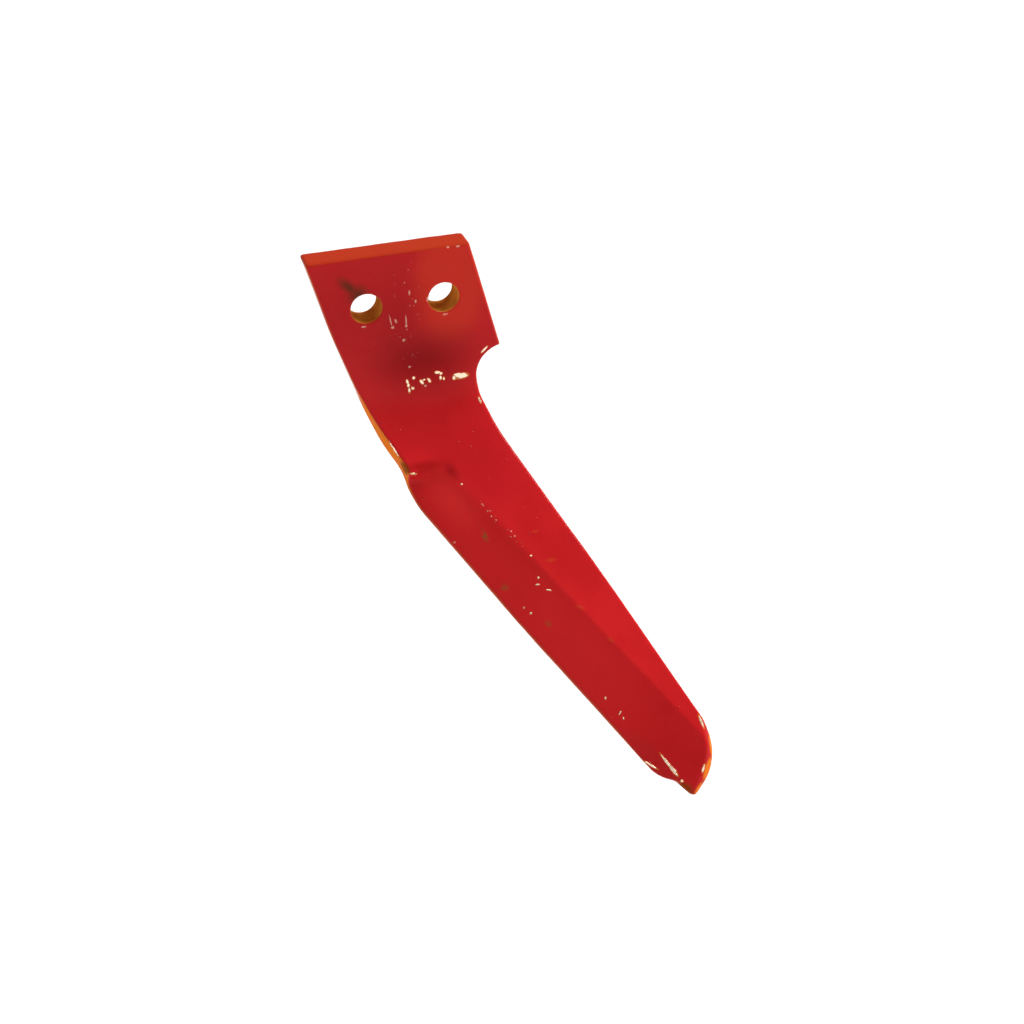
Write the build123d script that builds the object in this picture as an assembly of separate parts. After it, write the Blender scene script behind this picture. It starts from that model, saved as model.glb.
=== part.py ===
from build123d import *
import os
from math import radians, sin, cos, tan

# flat bar and bolt holes
thick = 15.0
hole_dia = 17.5
hole_gap = 44.0
hole_break = 0.4
top_edge = 30.7
flat_end = 28.0
side_slant = 0.27
left_side = -45.67
right_side = 45.64

# bend under the head, a slow part and a tight part
slow_radius, slow_turn = 137.5, 10.0
tight_radius, tight_turn = 45.8, 35.0

# notch under the head's right corner
notch_at = 52.5
notch_x = 40.2
notch_radius = 17.6

# blade edges: a point on each and how far it runs right per mm down
lead_end, lead_x, lead_slope = 296.0, 93.2, 0.58
trail_end, trail_x, trail_slope = 272.0, 127.1, 0.412

# tip outline radii and turns
toe_radius, toe_turn = 22.0, 32.0
toe_run = 3.5
under_radius, under_turn = 8.0, 25.0
heel_radius, heel_turn = 50.0, 22.4
end_radius, end_turn = 28.5, 47.0
nib_round = 2.2

# forged bevel, its ridge and the fold that closes it
fold_at, fold_lean, fold_round = 97.5, 20.0, 5.0
ridge_x, ridge_slope = 16.2, 0.621

# broken edges
edge_round = 1.5
top_round = 0.7
lead_round = 1.0

slow_end = flat_end + slow_radius * radians(slow_turn)
bend_end = slow_end + tight_radius * radians(tight_turn)
reach = 340.0


def station(s):
    """Front face s below the hole line: its y, its z and how far it leans forward."""
    if s <= flat_end:
        return -thick, -s, 0.0
    first, last = radians(slow_turn), radians(slow_turn + tight_turn)
    lean = min((s - flat_end) / slow_radius, first)
    y = -thick - slow_radius * (1 - cos(lean))
    z = -flat_end - slow_radius * sin(lean)
    if s > slow_end:
        lean = min(first + (s - slow_end) / tight_radius, last)
        y -= tight_radius * (cos(first) - cos(lean))
        z -= tight_radius * (sin(lean) - sin(first))
    rest = max(s - bend_end, 0.0)
    return y - rest * sin(lean), z - rest * cos(lean), lean


def spot(x, s, depth):
    """Point at x across and s down the front face, depth into the metal."""
    y, z, lean = station(s)
    return Vector(x, y + depth * cos(lean), z - depth * sin(lean))


def face_plane(s):
    """Plane on the front face at s: x across, y down the face, z into the metal."""
    y, z, lean = station(s)
    return Plane(origin=(0, y, z), x_dir=(1, 0, 0), z_dir=(0, cos(lean), -sin(lean)))


def side_line(depth):
    """Side view of one face of the bent bar, from the top edge to past the tip."""
    slow_mid, tight_mid = (flat_end + slow_end) / 2, (slow_end + bend_end) / 2
    return [
        Line(spot(0, -top_edge, depth), spot(0, flat_end, depth)),
        ThreePointArc(spot(0, flat_end, depth), spot(0, slow_mid, depth), spot(0, slow_end, depth)),
        ThreePointArc(spot(0, slow_end, depth), spot(0, tight_mid, depth), spot(0, bend_end, depth)),
        Line(spot(0, bend_end, depth), spot(0, reach, depth)),
    ]


def bent_slab():
    ends = [Line(spot(0, s, 0), spot(0, s, thick)) for s in (-top_edge, reach)]
    profile = make_face([*side_line(0), *side_line(thick), *ends])
    return extrude(profile, 200, dir=(1, 0, 0), both=True)


def ruled(first, second, marks):
    """Surface of straight rulings between two smooth curves that share their marks."""
    steps = [(mark - marks[0]) / (marks[-1] - marks[0]) for mark in marks]
    rims = [Edge.make_spline(points, parameters=steps) for points in (first, second)]
    return Face.make_surface_from_curves(*rims)


def side_cutter(stations, way):
    """Waste beyond one long side, whose wall stands square to the bent face."""
    marks = [s for s, x in stations]
    front = [spot(x, s, -9) for s, x in stations]
    back = [spot(x, s, thick + 9) for s, x in stations]
    return extrude(ruled(front, back, marks), 230, dir=(way, 0, 0))


def head_left(s):
    return left_side + s * side_slant


def head_right(s):
    return right_side + s * side_slant


def leading(s):
    return lead_x + (s - lead_end) * lead_slope


def trailing(s):
    return trail_x + (s - trail_end) * trail_slope


def ridge(s):
    return ridge_x + (s - 109) * ridge_slope


def left_cutter():
    head = [(s, head_left(s)) for s in (-45, -10, 25)]
    shank = [(34, -36.0), (43, -33.1), (52, -30.0), (61, -26.5), (70, -22.7), (80, -18.4), (92, -13.3)]
    spread = [(99, -11.0), (106, -10.1), (114, -8.1), (122, -5.2), (130, -0.9), (142, 5.7), (175, 23.8)]
    blade = [(s, leading(s)) for s in (200, 224, 248, 272, lead_end)]
    return side_cutter(head + shank + spread + blade, -1)


def right_cutter():
    shank = [(notch_at, notch_x), (56, 40.35), (60, 40.75), (64, 41.45), (70, 43.5), (80, 46.7), (92, 51.1)]
    blade = [(110, 58.7), (140, 71.8)] + [(s, trailing(s)) for s in (180, 225, trail_end)]
    return side_cutter(shank + blade, 1)


def head_side_cutter():
    edge = [(head_right(-60), -60), (head_right(60), 60), (300, 60), (300, -60)]
    return extrude(face_plane(0) * make_face(Polyline(*edge, close=True)), 60, both=True)


def notch_cutter():
    place = face_plane(notch_at) * Pos(notch_x + notch_radius, 0)
    return extrude(place * Circle(notch_radius), 40, both=True)


def tip_cutter():
    """Waste round the tip; drawn on the blade's face with s counted down it."""
    start, stop = (lead_x, lead_end), (trail_x, trail_end)
    toe = JernArc(start, (lead_slope, 1), toe_radius, -toe_turn)
    run = Line(toe @ 1, (toe @ 1) + toe_run * (toe % 1))
    under = JernArc(run @ 1, run % 1, under_radius, under_turn)
    heel = JernArc(stop, (trail_slope, 1), heel_radius, heel_turn)
    end = JernArc(heel @ 1, heel % 1, end_radius, end_turn)
    nib = IntersectingLine(under @ 1, under % 1, Line(end @ 1, (end @ 1) + 30 * (end % 1)))
    rim = [toe, run, under, nib, Line(nib @ 1, end @ 1), end, heel]
    far = Polyline(stop, (300, trail_end), (300, 360), (-150, 360), (-150, lead_end), start)
    waste = make_face([*rim, far])
    waste = fillet(waste.vertices().sort_by_distance(nib @ 1)[0], nib_round)
    return extrude(face_plane(bend_end) * Pos(0, -bend_end) * waste, 40, both=True)


def bevel_cutter():
    """Waste above the forged bevel, closed at its upper end by the leaning step of the fold."""
    slopes = [(86, 0.60), (96, 0.52), (106, 0.445), (120, 0.385)]
    slopes += [(140, 0.345), (180, 0.316), (250, 0.294), (335, 0.27)]
    marks = [s for s, slope in slopes]
    inner = [spot(ridge(s) + 12, s, -12 * slope) for s, slope in slopes]
    outer = [spot(ridge(s) - 60, s, 60 * slope) for s, slope in slopes]
    wedge = extrude(ruled(inner, outer, marks), 60, dir=-face_plane(bend_end).z_dir)
    lean = tan(radians(fold_lean))
    step = [spot(0, fold_at + depth * lean, depth) for depth in (-70, 40)]
    below = make_face(Polyline(*step, spot(0, 330, 40), spot(0, 330, -70), close=True))
    waste = wedge & extrude(below, 200, dir=(1, 0, 0), both=True)
    foot = waste.edges().sort_by_distance(spot(ridge_x - 26, fold_at + 5, 11))[0]
    return waste.solids()[0].fillet(fold_round, [foot])


def heel_cutter():
    """Waste above the small bevel that follows the heel round to the nib."""
    marks = (268, 281, 294, 303, 311, 321)
    inner = [(126, 268, -2), (125.6, 281, -0.5), (126, 293, 1.2), (121.6, 302.5, 3.4), (117, 309, 5.4), (109.5, 318, 8.4)]
    outer = [(131, 269, 1), (132.6, 283, 4), (133, 297, 6.9), (129, 307, 9.1), (123, 314.5, 10.9), (115.5, 323, 13.2)]
    surface = ruled([spot(*p) for p in inner], [spot(*p) for p in outer], marks)
    return extrude(surface, 30, dir=-face_plane(bend_end).z_dir)


def on_face(edge):
    """True for an edge that runs along the front or the back face of the bar."""
    middle = edge.position_at(0.5)
    across = abs(edge.tangent_at(0.5).X) > 0.9999
    flat = Vector(0, middle.Y, middle.Z)
    return not across and any(Wire(side_line(depth)).distance_to(flat) < 0.01 for depth in (0, thick))


def rounded_blank():
    slab = bent_slab() - left_cutter() - right_cutter() - head_side_cutter() - notch_cutter() - tip_cutter()
    blank = [solid for solid in slab.solids() if solid.is_inside(spot(-20, 10, 7))][0]
    blank = blank.fillet(edge_round, [edge for edge in blank.edges() if on_face(edge)])
    top = blank.faces().sort_by(Axis.Z)[-1]
    return blank.fillet(top_round, top.outer_wire().edges())


def drilled(body):
    """The two bolt holes with their lightly broken edges."""
    for x in (-hole_gap / 2, hole_gap / 2):
        body -= Plane.XZ * Pos(x, 0) * extrude(Circle(hole_dia / 2), 60, both=True)
    rims = body.edges().filter_by(GeomType.CIRCLE)
    rims = rims.filter_by(lambda edge: abs(edge.radius - hole_dia / 2) < 0.01)
    return body.solids()[0].chamfer(hole_break, None, rims)


tine = rounded_blank() - bevel_cutter()
arris = tine.edges().sort_by_distance(spot(leading(200), 200, 11))[0]
tine = tine.solids()[0].fillet(lead_round, [arris])
tine = drilled(tine - heel_cutter())

os.makedirs("parts", exist_ok=True)
export_step(tine, "parts/tine.step")
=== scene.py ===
import bpy, bmesh
from math import radians, sin, cos
from mathutils import Vector, Matrix, noise
from mathutils.bvhtree import BVHTree


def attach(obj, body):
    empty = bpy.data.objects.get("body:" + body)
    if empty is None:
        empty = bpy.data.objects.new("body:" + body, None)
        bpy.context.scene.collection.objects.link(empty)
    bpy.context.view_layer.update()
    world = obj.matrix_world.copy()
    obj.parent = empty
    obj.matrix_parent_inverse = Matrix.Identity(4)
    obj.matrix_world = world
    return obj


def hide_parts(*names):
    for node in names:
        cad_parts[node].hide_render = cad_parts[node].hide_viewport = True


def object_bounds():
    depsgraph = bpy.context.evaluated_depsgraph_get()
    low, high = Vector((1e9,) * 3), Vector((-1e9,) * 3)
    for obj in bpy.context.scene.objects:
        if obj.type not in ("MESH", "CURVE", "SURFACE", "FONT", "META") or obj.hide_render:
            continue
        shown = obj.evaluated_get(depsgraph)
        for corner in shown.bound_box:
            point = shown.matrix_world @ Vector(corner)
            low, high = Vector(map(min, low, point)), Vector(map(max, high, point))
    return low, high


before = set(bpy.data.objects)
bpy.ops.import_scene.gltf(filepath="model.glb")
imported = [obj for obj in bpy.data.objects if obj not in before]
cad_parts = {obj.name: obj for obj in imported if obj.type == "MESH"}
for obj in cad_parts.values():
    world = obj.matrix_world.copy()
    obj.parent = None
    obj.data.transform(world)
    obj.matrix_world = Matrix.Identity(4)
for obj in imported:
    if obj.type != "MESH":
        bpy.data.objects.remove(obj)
cad_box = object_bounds()
scene = bpy.context.scene

# the bar's front face, in metres: where it bends and how far
thick = 0.015
flat_end = 0.028
slow_radius, slow_turn = 0.1375, radians(10)
tight_radius, tight_turn = 0.0458, radians(35)
slow_end = flat_end + slow_radius * slow_turn
bend_end = slow_end + tight_radius * tight_turn
hole_x = 0.022
top_edge = cad_box[1][2]

# the ridge of the forged bevel and the crease near the toe, in mm on the front face
ridge_x, ridge_s, ridge_slope = 16.2, 109, 0.621
crease_x, crease_s, crease_slope = 99.8, 289.4, 0.54


def station(s):
    """Front face s below the hole line: y, z and how far it leans forward."""
    if s <= flat_end:
        return -thick, -s, 0.0
    lean = min((s - flat_end) / slow_radius, slow_turn)
    y = -thick - slow_radius * (1 - cos(lean))
    z = -flat_end - slow_radius * sin(lean)
    if s > slow_end:
        lean = min(slow_turn + (s - slow_end) / tight_radius, slow_turn + tight_turn)
        y -= tight_radius * (cos(slow_turn) - cos(lean))
        z -= tight_radius * (sin(lean) - sin(slow_turn))
    rest = max(s - bend_end, 0.0)
    return y - rest * sin(lean), z - rest * cos(lean), lean


def spot(x, s, depth=0.0):
    """Point x across and s down the front face, depth into the metal; arguments in mm."""
    y, z, lean = station(s / 1000)
    return Vector((x / 1000, y + depth / 1000 * cos(lean), z - depth / 1000 * sin(lean)))


def lie(s, swing=0.0):
    """Turn of axes that lie on the front face at s, the first one swung from +X towards down the face."""
    lean = station(s / 1000)[2]
    right = Vector((1, 0, 0))
    down = Vector((0, -sin(lean), -cos(lean)))
    out = Vector((0, -cos(lean), sin(lean)))
    along = cos(radians(swing)) * right + sin(radians(swing)) * down
    return Matrix((along, out.cross(along), out)).transposed().to_euler()


# camera
def add_camera():
    cam = bpy.data.objects.new("photo_camera", bpy.data.cameras.new("photo_camera"))
    cam.data.sensor_width = 36.0
    cam.data.lens = 47.24
    cam.data.clip_start = 0.01
    place = Vector((-0.16358, -0.66432, 0.33842))
    right = Vector((0.94542, -0.32583, 0.00478))
    down = Vector((-0.18647, -0.55299, -0.81205))
    ahead = Vector((0.26723, 0.76683, -0.58357))
    turn = Matrix((right, -down, -ahead)).transposed().to_4x4()
    cam.matrix_world = Matrix.Translation(place) @ turn
    scene.collection.objects.link(cam)
    scene.camera = cam


# node helpers
class Paint:
    """Short words for building one node material."""

    def __init__(self, name):
        self.mat = bpy.data.materials.new(name)
        self.mat.use_nodes = True
        self.tree = self.mat.node_tree
        self.shader = self.tree.nodes["Principled BSDF"]
        self.place = self.tree.nodes.new("ShaderNodeTexCoord").outputs["Object"]

    def put(self, socket, value):
        if isinstance(value, bpy.types.NodeSocket):
            self.tree.links.new(value, socket)
        else:
            socket.default_value = value

    def coat(self, name, value):
        self.put(self.shader.inputs[name], value)

    def math(self, kind, a, b=0.0, clamp=False):
        n = self.tree.nodes.new("ShaderNodeMath")
        n.operation, n.use_clamp = kind, clamp
        self.put(n.inputs[0], a)
        self.put(n.inputs[1], b)
        return n.outputs[0]

    def ramp(self, value, low, high, to_low=0.0, to_high=1.0):
        n = self.tree.nodes.new("ShaderNodeMapRange")
        n.interpolation_type = "SMOOTHSTEP"
        names = ("Value", "From Min", "From Max", "To Min", "To Max")
        for name, v in zip(names, (value, low, high, to_low, to_high)):
            self.put(n.inputs[name], v)
        return n.outputs[0]

    def noise(self, size, detail=2.0, rough=0.5, place=None):
        """Noise whose blobs are about size metres across."""
        n = self.tree.nodes.new("ShaderNodeTexNoise")
        self.put(n.inputs["Vector"], place or self.place)
        n.inputs["Scale"].default_value = 1 / size
        n.inputs["Detail"].default_value = detail
        n.inputs["Roughness"].default_value = rough
        return n.outputs["Fac"]

    def dots(self, gap, rarity, size=0.24):
        """Small round heaps scattered about gap metres apart; the higher the rarity, the fewer."""
        n = self.tree.nodes.new("ShaderNodeTexVoronoi")
        self.put(n.inputs["Vector"], self.place)
        n.inputs["Scale"].default_value = 1 / gap
        pick = self.tree.nodes.new("ShaderNodeSeparateColor")
        self.put(pick.inputs[0], n.outputs["Color"])
        chosen = self.ramp(pick.outputs[0], rarity, rarity + 0.03)
        return self.times(self.ramp(n.outputs["Distance"], size, 0.0), chosen)

    def drawn_out(self, turn, ratio):
        """Coordinates in which a pattern is drawn out along the first of the turned axes."""
        n = self.tree.nodes.new("ShaderNodeMapping")
        n.vector_type = "TEXTURE"
        self.put(n.inputs["Vector"], self.place)
        n.inputs["Rotation"].default_value = turn
        n.inputs["Scale"].default_value = (ratio, 1, 1)
        return n.outputs[0]

    def parts(self, vector):
        n = self.tree.nodes.new("ShaderNodeSeparateXYZ")
        self.put(n.inputs[0], vector)
        return n.outputs

    def height(self):
        """How high the point lies above the hole line, in metres."""
        return self.parts(self.place)[2]

    def facing(self):
        """How far the surface faces sideways, to the front and up, each from 0 to 1."""
        across, back, up = self.parts(self.tree.nodes.new("ShaderNodeTexCoord").outputs["Normal"])
        return self.math("ABSOLUTE", across), self.math("SUBTRACT", 0.0, back), up

    def blob(self, point, reach, turn=(0, 0, 0)):
        """1 at a point, falling evenly to 0 at reach, one length in metres for each turned axis."""
        n = self.tree.nodes.new("ShaderNodeTexGradient")
        n.gradient_type = "SPHERICAL"
        self.put(n.inputs["Vector"], self.place)
        fit = n.texture_mapping
        fit.vector_type, fit.translation, fit.rotation, fit.scale = "TEXTURE", point, turn, reach
        return n.outputs["Fac"]

    def ovals(self, rows, deep=None):
        """Highest in the middle of oval spots: each x, s, depth, half length and width in mm, and swing."""
        made = []
        for x, s, depth, long, wide, swing in rows:
            reach = Vector((long, wide, deep or max(long, wide))) / 1000
            made.append(self.blob(spot(x, s, depth), reach, lie(s, swing)))
        return self.most(*made)

    def spots(self, rows, soft=0.5):
        """Mask of oval spots with soft edges."""
        return self.ramp(self.ovals(rows), 0.0, soft)

    def mix(self, factor, a, b):
        n = self.tree.nodes.new("ShaderNodeMix")
        n.data_type = "RGBA"
        self.put(n.inputs["Factor"], factor)
        self.put(n.inputs["A"], a)
        self.put(n.inputs["B"], b)
        return n.outputs["Result"]

    def most(self, *values):
        out = values[0]
        for v in values[1:]:
            out = self.math("MAXIMUM", out, v)
        return out

    def times(self, *values):
        out = values[0]
        for v in values[1:]:
            out = self.math("MULTIPLY", out, v)
        return out

    def bump(self, height, depth, strength=1.0, normal=None):
        n = self.tree.nodes.new("ShaderNodeBump")
        n.inputs["Strength"].default_value = strength
        n.inputs["Distance"].default_value = depth
        self.put(n.inputs["Height"], height)
        if normal:
            self.put(n.inputs["Normal"], normal)
        return n.outputs["Normal"]


# metal spots set where glints show, so that they glint: each x, s, depth, half length and half width in mm,
# and swing in degrees
bend_glints = ((30.4, 50.4, 0, 5.6, 2.3, 0), (28.6, 49.2, 0, 3.4, 1.2, 0), (26.1, 51.0, 0, 1.3, 1.7, 0),
              (20.1, 50.2, 0, 1.0, 1.3, 0), (18.2, 49.5, 0, 1.1, 1.8, 0), (16.6, 45.9, 0, 2.3, 1.2, 10),
              (18.6, 46.9, 0, 1.3, 1.0, 0), (11.3, 49.9, 0, 2.2, 1.1, 60), (6.9, 50.1, 0, 2.3, 1.2, 60),
              (8.4, 49.0, 0, 1.2, 0.7, 0), (-1.5, 48.7, 0, 2.2, 1.0, 80), (-1.0, 51.0, 0, 1.7, 1.2, 85),
              (-0.8, 54.0, 0, 2.2, 0.9, 90), (1.4, 53.1, 0, 1.2, 1.2, 0), (2.4, 46.9, 0, 1.2, 1.2, 0))
blade_glints = ((18.6, 113.1, 0, 0.9, 0.8, 0), (49.2, 161.7, 0, 0.9, 0.8, 0), (51.0, 175.0, 2, 0.9, 0.8, 0),
               (49.8, 178.6, 3, 1.6, 0.6, 10), (55.4, 183.1, 2, 1.9, 0.6, 25),
               (43.4, 193.7, 8, 0.9, 0.8, 0), (75.5, 250.9, 8.5, 0.8, 1.1, 0),
               (82.0, 261.1, 8.3, 1.8, 0.5, 130), (83.3, 264.5, 8.5, 0.6, 1.1, 0))
tip_glints = ((103.3, 296.2, 8.2, 9.5, 1.0, 64), (105.6, 300.6, 8.3, 5.0, 1.35, 64),
             (94.0, 294.5, 11.8, 6.0, 0.8, 45), (126.3, 276.8, 0, 5.4, 1.0, 79),
             (122.2, 303.2, 4.3, 3.6, 1.0, 117), (109.1, 307.4, 8.5, 1.1, 1.1, 0))
rim_glints = ((-15.4, 85.8, 0.7, 7.5, 0.5, 69), (-7.4, 102.0, 1.0, 3.0, 0.8, 14),
             (40.0, 66.5, 0, 2.6, 0.9, 75), (45.1, 36.4, 0, 3.6, 0.9, -42))
faint_glints = ((-8.0, 13.5, 0, 1.3, 1.2, 0), (-0.3, 13.9, 0, 1.1, 1.1, 0), (-0.2, 10.5, 0, 5.0, 0.6, 90),
               (-9.0, 9.0, 0, 5.0, 0.5, 80), (-6.1, 9.8, 0, 2.0, 0.9, 70), (2.4, -5.9, 0, 2.2, 0.8, 90),
               (5.7, -0.4, 0, 1.6, 0.8, 90), (-2.1, 22.5, 0, 1.2, 1.2, 0), (0.4, 39.7, 0, 1.3, 1.0, 0),
               (8.9, 52.8, 0, 1.2, 1.0, 0), (-24.3, 10.4, 0, 1.9, 0.9, 0), (22.4, 10.3, 0, 2.2, 0.8, 0),
               (12.6, -0.5, 0, 2.4, 0.9, 90), (25.1, -29.7, 0, 1.2, 0.9, 0), (30.7, -29.5, 0, 1.4, 0.9, 0),
               (40.2, 189.7, 8, 1.0, 0.9, 0), (9.1, 144.3, 10, 1.0, 0.9, 0))
ridge_glint_row = [(36, 140, 0, 21, 2.2, 58)]
head_glint_row = [(0, 6, 0, 42, 11, 90)]

# other spots, in the same terms
smears = ((60.2, 166.6, 0, 5.0, 1.6, 5), (70.7, 196.7, 0, 4.0, 1.6, 35),
          (84.3, 219.1, 0, 3.6, 1.4, 45), (55.0, 148.5, 0, 3.0, 1.2, 10))
worn_spots = ((26.0, 144.8, 4.3, 5.6, 2.2, 78), (31.6, 175.9, 8.2, 3.8, 2.8, 45),
              (52.0, 201.9, 6.7, 3.2, 2.4, 45))
streak_spots = ((-26.3, -9.3, 0, 8.5, 8.8, 44), (-30.8, -14.2, 0, 12, 4.8, 47))
fold_shadow = ((0, 98.8, 2, 21, 5.0, 2), (14.5, 104, 1, 10, 4.8, 62))
# painted warm reflection on the heel
heel_reflection = ((130.5, 291, 4, 11, 2.6, 92), (125.5, 304, 7, 9, 3.0, 118), (118, 315, 10, 7, 2.8, 128))
# painted warm reflection on the shank's left side
shank_side_reflection = [(-20, 80, 7, 42, 20, 68)]
# painted shade in the fold's corner and under the toe
shaded_corners = ((-11.5, 97.5, 3, 6, 3.0, 60), (110.8, 312.5, 12, 7, 5.5, 50))
dusty_middle = [(0, 5, 0, 9, 36, 0)]
dusty_ridge = [(30, 140, 2, 40, 18, 60)]
dusty_bevel = [(80, 258, 8, 26, 10, 60)]
dull_bend = [(8, 40, 0, 41, 20, 0)]
dull_fold = [(1, 102, 4, 18, 9, 8)]

# colours of the paint
red, light_red, blotch_red = (0.46, 0.0100, 0.0120, 1), (0.53, 0.0125, 0.0150, 1), (0.41, 0.006, 0.008, 1)
# painted light: a lit red-orange for the top and the sides, an orange painted warm reflection, and a
# painted halo round the glints
lit_edge_red, reflected_orange, painted_glint_halo = (0.41, 0.034, 0.011, 1), (0.76, 0.190, 0.020, 1), (0.58, 0.125, 0.014, 1)
brown, dark_brown, olive = (0.20, 0.045, 0.008, 1), (0.085, 0.020, 0.005, 1), (0.16, 0.085, 0.020, 1)
dark_bore_tone, light_bore_tone = (0.42, 0.115, 0.014, 1), (0.62, 0.24, 0.035, 1)
glint_metal_colour = (1.0, 0.80, 0.60, 1)

# painted light and shade on the front as lighter and deeper reds, in order: light on the head's right half,
# shade on the head's left and middle, shade above the bend, shade on the lower shank, light along the
# blade, light on the bevel under the fold, shade along the fold, then orange smears, then shade at the tip;
# each row: ovals, how soft, how strong, and the tone
front_shading_and_smears = (
    ([(25, -6, 0, 26, 42, 0)], 0.45, 0.85, (0.56, 0.025, 0.012, 1)),
    ([(-22, 12, 0, 50, 50, 0)], 1.0, 0.50, (0.31, 0.005, 0.006, 1)),
    ([(-3, 6, 0, 22, 40, 0)], 1.0, 0.55, (0.32, 0.005, 0.006, 1)),
    ([(9, 36, 0, 46, 28, 0)], 1.0, 0.72, (0.20, 0.003, 0.004, 1)),
    ([(26, 97, 0, 54, 36, 46)], 0.9, 0.80, (0.40, 0.008, 0.012, 1)),
    ([(44, 196, 7, 130, 34, 61)], 0.6, 0.50, (0.60, 0.018, 0.018, 1)),
    ([(12, 120, 7, 34, 15, 62)], 1.0, 0.60, (0.72, 0.026, 0.024, 1)),
    (fold_shadow, 1.0, 0.55, (0.20, 0.003, 0.004, 1)),
    (smears, 1.0, 0.45, (0.52, 0.060, 0.012, 1)),
    ([(104, 288, 0, 60, 60, 0)], 1.0, 0.50, (0.42, 0.007, 0.009, 1)))


# the paint
def red_paint():
    """Glossy red over forged steel: painted light and shade, painted warm reflections on the top and sides,
    dust nibs, worn spots, and metal spots set where glints show.
    """
    p = Paint("red_paint")
    broad, blot, fine = p.noise(0.06, 2), p.noise(0.012, 4, 0.6), p.noise(0.0016, 3, 0.7)
    side, front, top = p.facing()
    side = p.ramp(side, 0.50, 0.75)
    rim = p.ramp(p.height(), top_edge - 0.0017, top_edge - 0.0005)
    colour = p.mix(p.ramp(broad, 0.35, 0.65), red, light_red)
    colour = p.mix(p.times(p.ramp(blot, 0.52, 0.72), 0.30), colour, blotch_red)
    # painted light and shade on the front, and orange smears
    colour = add_front_shading_and_smears(p, colour, p.ramp(front, 0.0, 0.3))

    # painted light: the top and the sides a lit red-orange, the shank's left side and the heel an orange
    # painted warm reflection; painted shade: brown at the fold's corner and under the toe
    edge = p.most(p.times(rim, p.ramp(top, 0.1, 0.5)), side)
    colour = p.mix(p.times(edge, 0.9), colour, lit_edge_red)
    warm_reflection = p.times(side, p.ramp(p.spots(shank_side_reflection), 0.0, 1.0, 0.18, 1.0))
    warm_reflection = p.times(p.most(warm_reflection, p.spots(heel_reflection)), p.ramp(blot, 0.2, 0.6, 0.7, 1.0))
    colour = p.mix(p.times(warm_reflection, 0.9), colour, reflected_orange)
    corners = p.spots(shaded_corners)
    colour = p.mix(p.times(corners, 0.75), colour, brown)

    # a brown streak that widens towards the left hole, and olive spots worn into the bevel
    streak = p.times(p.spots(streak_spots, 0.95), p.ramp(p.noise(0.006, 3), 0.15, 0.45))
    colour = p.mix(p.times(streak, 0.85), colour, dark_brown)
    worn = p.times(p.spots(worn_spots, 0.8), p.ramp(fine, 0.40, 0.60))
    colour = p.mix(p.times(worn, 0.8), colour, olive)

    # the bolt holes' walls made gold-brown
    bores = bolt_holes(p)
    colour = p.mix(bores, colour, p.mix(p.ramp(blot, 0.35, 0.65), dark_bore_tone, light_bore_tone))

    # metal spots set where glints show, glinting by reflection, ringed by a painted orange halo
    glint_halo_mask, glint_metal = glint_spots(p)
    colour = p.mix(p.times(glint_halo_mask, 0.9), colour, painted_glint_halo)
    p.coat("Base Color", p.mix(glint_metal, colour, glint_metal_colour))
    p.coat("Metallic", glint_metal)

    rough = p.ramp(blot, 0.3, 0.75, 0.30, 0.45)
    rougher = p.most(p.times(p.most(streak, worn), 0.2), p.times(bores, 0.5))
    p.coat("Roughness", p.math("ADD", rough, rougher))
    half_dull = p.times(p.most(rim, p.spots(dull_fold, 0.8)), 0.8)
    dull = p.most(bores, warm_reflection, corners, half_dull, p.times(p.spots(dull_bend, 1.0), 0.4))
    p.coat("Coat Weight", p.math("SUBTRACT", 1.0, dull, clamp=True))
    p.coat("Specular IOR Level", 0.0)
    p.coat("Coat IOR", 1.17)
    p.coat("Coat Roughness", 0.06)
    p.coat("Sheen Weight", 0.06)
    p.coat("Sheen Roughness", 0.30)
    p.coat("Sheen Tint", (1.0, 0.45, 0.12, 1))

    relief = paint_relief(p, glint_metal)
    p.coat("Normal", relief)
    p.coat("Coat Normal", relief)
    return p.mat


# paints the light and shade on the front, and the orange smears
def add_front_shading_and_smears(p, colour, front):
    for rows, soft, strength, tone in front_shading_and_smears:
        colour = p.mix(p.times(p.spots(rows, soft), strength, front), colour, tone)
    return colour


def bolt_holes(p):
    """Mask of the two bores, a little wider than the holes."""
    middle = -thick / 2
    reach = (0.0094, 0.0282, 0.0094)
    return p.ramp(p.most(*[p.blob((x, middle, 0), reach) for x in (-hole_x, hole_x)]), 0.0, 0.03)


def glint_spots(p):
    """Masks of the painted orange halo round the glint spots and of the metal glint spots, with finer ones
    on head and ridge.
    """
    ragged = p.math("ADD", p.times(p.noise(0.0011, 2), 2.4), -0.2)
    heart = p.times(p.ovals(bend_glints + blade_glints + tip_glints + rim_glints, 2.6), ragged)
    on_ridge = p.times(p.dots(0.0019, 0.12, 0.38), p.ramp(p.ovals(ridge_glint_row, 2.5), 0.0, 0.6), 0.75)
    on_head = p.times(p.dots(0.0027, 0.42), p.ramp(p.ovals(head_glint_row, 3), 0.0, 0.7), 0.32)
    faint = p.times(p.ramp(p.times(p.ovals(faint_glints, 2.5), ragged), 0.15, 0.55), 0.32)
    return p.ramp(heart, 0.0, 0.14), p.most(p.ramp(heart, 0.26, 0.44), on_ridge, on_head, faint)


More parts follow.
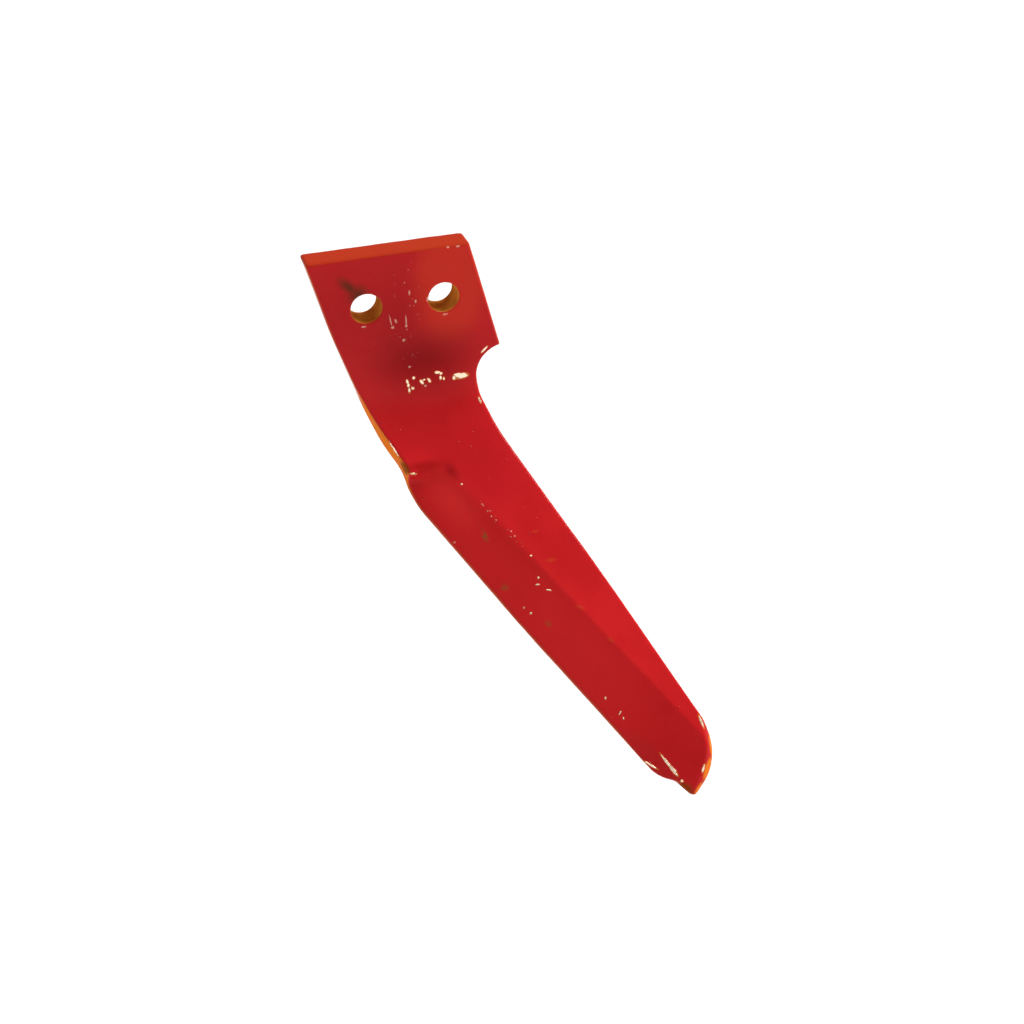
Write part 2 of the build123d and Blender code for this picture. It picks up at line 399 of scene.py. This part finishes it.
def paint_relief(p, glint_metal):
    """Orange peel, dust nibs, faint forging grain down the blade, and the rims of the metal glint spots."""
    dusty = p.most(p.spots(dusty_middle, 1.0), p.spots(dusty_ridge, 1.0), p.spots(dusty_bevel))
    nibs = p.most(p.dots(0.0032, 0.93), p.times(p.dots(0.0022, 0.80), p.ramp(dusty, 0.2, 0.7)))
    grain = p.noise(0.0025, 3, 0.6, p.drawn_out(lie(200, 64), 9))
    n = p.bump(p.noise(0.0045, 2), 0.00010, 0.30)
    n = p.bump(p.noise(0.014, 3, 0.55), 0.0005, 0.25, n)
    n = p.bump(grain, 0.00010, 0.25, n)
    return p.bump(p.most(nibs, glint_metal), 0.0004, 0.9, n)


# the forging
def forging(node):
    """The painted forging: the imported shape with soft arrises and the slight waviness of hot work."""
    piece = bpy.data.objects.new("tine_forging", node.data.copy())
    scene.collection.objects.link(piece)
    shape = joined_faces(piece.data)
    regrid(piece, 0.00088)
    for v in piece.data.vertices:
        v.co = shape.find_nearest(v.co)[0]
    soften(piece, 3)
    for rounds, lowest in ((40, 134), (16, 165)):
        soften(piece, rounds, lambda v: on_upper_ridge(v, lowest))
    normals = [v.normal.copy() for v in piece.data.vertices]
    for v, normal in zip(piece.data.vertices, normals):
        v.co += normal * (waviness(v.co) + 0.00005) + toe_facet(v.co)
    piece.data.shade_smooth()
    return piece


def joined_faces(mesh):
    """Joins the mesh's faces at their corners and returns its surface, to find the nearest points on."""
    bm = bmesh.new()
    bm.from_mesh(mesh)
    bmesh.ops.remove_doubles(bm, verts=bm.verts, dist=1e-6)
    shape = BVHTree.FromBMesh(bm)
    bm.to_mesh(mesh)
    bm.free()
    return shape


def regrid(piece, size):
    """Swaps the mesh for an even grid of faces about size metres wide."""
    grid = piece.modifiers.new("grid", "REMESH")
    grid.mode, grid.voxel_size, grid.use_smooth_shade = "VOXEL", size, True
    bpy.context.view_layer.update()
    gridded = piece.evaluated_get(bpy.context.evaluated_depsgraph_get())
    mesh = bpy.data.meshes.new_from_object(gridded)
    piece.modifiers.clear()
    piece.data = mesh


def waviness(v):
    """Slow and quick waves of the surface, in metres."""
    return noise.noise(v * 55) * 0.00013 + noise.noise(v * 140 + Vector((3, 1, 7))) * 0.00006


def unrolled(v):
    """How far down the face and how deep a point of the blade lies, in mm, and the way into the metal."""
    bend = bend_end * 1000
    start, end = spot(0, bend), spot(0, bend + 100)
    down = (end - start).normalized()
    into = Vector((0, -down.z, down.y))
    return bend + (v - start).dot(down) * 1000, (v - start).dot(into) * 1000, into


def on_upper_ridge(v, lowest):
    """True on the fold and on the ridge under it, where hammering left no sharp line."""
    fold_top, deepest, margin, left_end = 94, 11, 9, -9
    s, depth, into = unrolled(v)
    x = v.x * 1000
    ridge = ridge_x + max(s - ridge_s, 0) * ridge_slope
    reach = max(26 - (s - fold_top) * 0.5, margin)
    on_stretch = fold_top < s < lowest and depth < deepest
    return on_stretch and left_end < x < ridge + margin and x > ridge - reach


def toe_facet(v):
    """Lets the corner left of a line through the tip's bevel fall away towards the toe."""
    facet_top, full_from, under_side, blend = 270, 288, 13.5, 2.5
    s, depth, into = unrolled(v)
    left = (crease_x - v.x * 1000 + (s - crease_s) * crease_slope) * 0.88
    if left <= 0 or s < facet_top or depth > under_side:
        return Vector((0, 0, 0))
    fade = min(1.0, (s - facet_top) / (full_from - facet_top))
    reach = min(1.0, (under_side - depth) / blend)
    return into * (0.00016 * left * fade * reach)


def soften(piece, rounds, chosen=None):
    """Rounds the piece's forms a little each round, everywhere or only where chosen says."""
    bm = bmesh.new()
    bm.from_mesh(piece.data)
    verts = [v for v in bm.verts if not chosen or chosen(v.co)]
    axes = {"use_axis_x": True, "use_axis_y": True, "use_axis_z": True}
    for i in range(rounds):
        bmesh.ops.smooth_vert(bm, verts=verts, factor=0.5, **axes)
    bm.to_mesh(piece.data)
    bm.free()


# floor and light
def pale_floor():
    width, drop = 40, 0.5
    bpy.ops.mesh.primitive_plane_add(size=width, location=(0, 0, cad_box[0][2] - drop))
    floor = bpy.context.object
    floor.name = "floor"
    p = Paint("floor_white")
    p.coat("Base Color", p.mix(p.noise(0.4, 2), (0.87, 0.87, 0.87, 1), (0.89, 0.89, 0.89, 1)))
    p.coat("Roughness", p.ramp(p.noise(0.05, 3), 0.3, 0.7, 0.75, 0.9))
    p.coat("Normal", p.bump(p.noise(0.002, 2), 0.0001, 0.2))
    p.coat("Specular IOR Level", 0.1)
    floor.data.materials.append(p.mat)


def white_surround():
    """Soft light from all round, brightest near the horizon."""
    low_light, high_light, high_from = 0.95, 0.33, 0.5
    world = bpy.data.worlds.new("studio")
    world.use_nodes = True
    tree = world.node_tree
    aim = tree.nodes.new("ShaderNodeSeparateXYZ")
    tree.links.new(tree.nodes.new("ShaderNodeTexCoord").outputs["Generated"], aim.inputs[0])
    fall = tree.nodes.new("ShaderNodeMapRange")
    fall.interpolation_type = "SMOOTHSTEP"
    tree.links.new(aim.outputs[2], fall.inputs["Value"])
    fall.inputs["From Max"].default_value = high_from
    fall.inputs["To Min"].default_value = low_light
    fall.inputs["To Max"].default_value = high_light
    tree.links.new(fall.outputs[0], tree.nodes["Background"].inputs["Strength"])
    tree.nodes["Background"].inputs["Color"].default_value = (1, 1, 1, 1)
    scene.world = world


def key_lamp():
    """One broad lamp from the right and above."""
    place = Vector((0.65, 0.05, 0.76))
    lamp = bpy.data.objects.new("key", bpy.data.lights.new("key", "SUN"))
    lamp.data.energy = 3.9
    lamp.data.angle = radians(38)
    lamp.location = place
    lamp.rotation_euler = (-place).to_track_quat("-Z", "Y").to_euler()
    lamp.visible_camera = False
    scene.collection.objects.link(lamp)


add_camera()
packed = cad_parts["tine"]
tine = forging(packed)
paint = red_paint()
for piece in (tine, packed):
    piece.data.materials.clear()
    piece.data.materials.append(paint)
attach(tine, "root")
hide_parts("tine")
pale_floor()
white_surround()
key_lamp()
scene.view_settings.view_transform = "Standard"
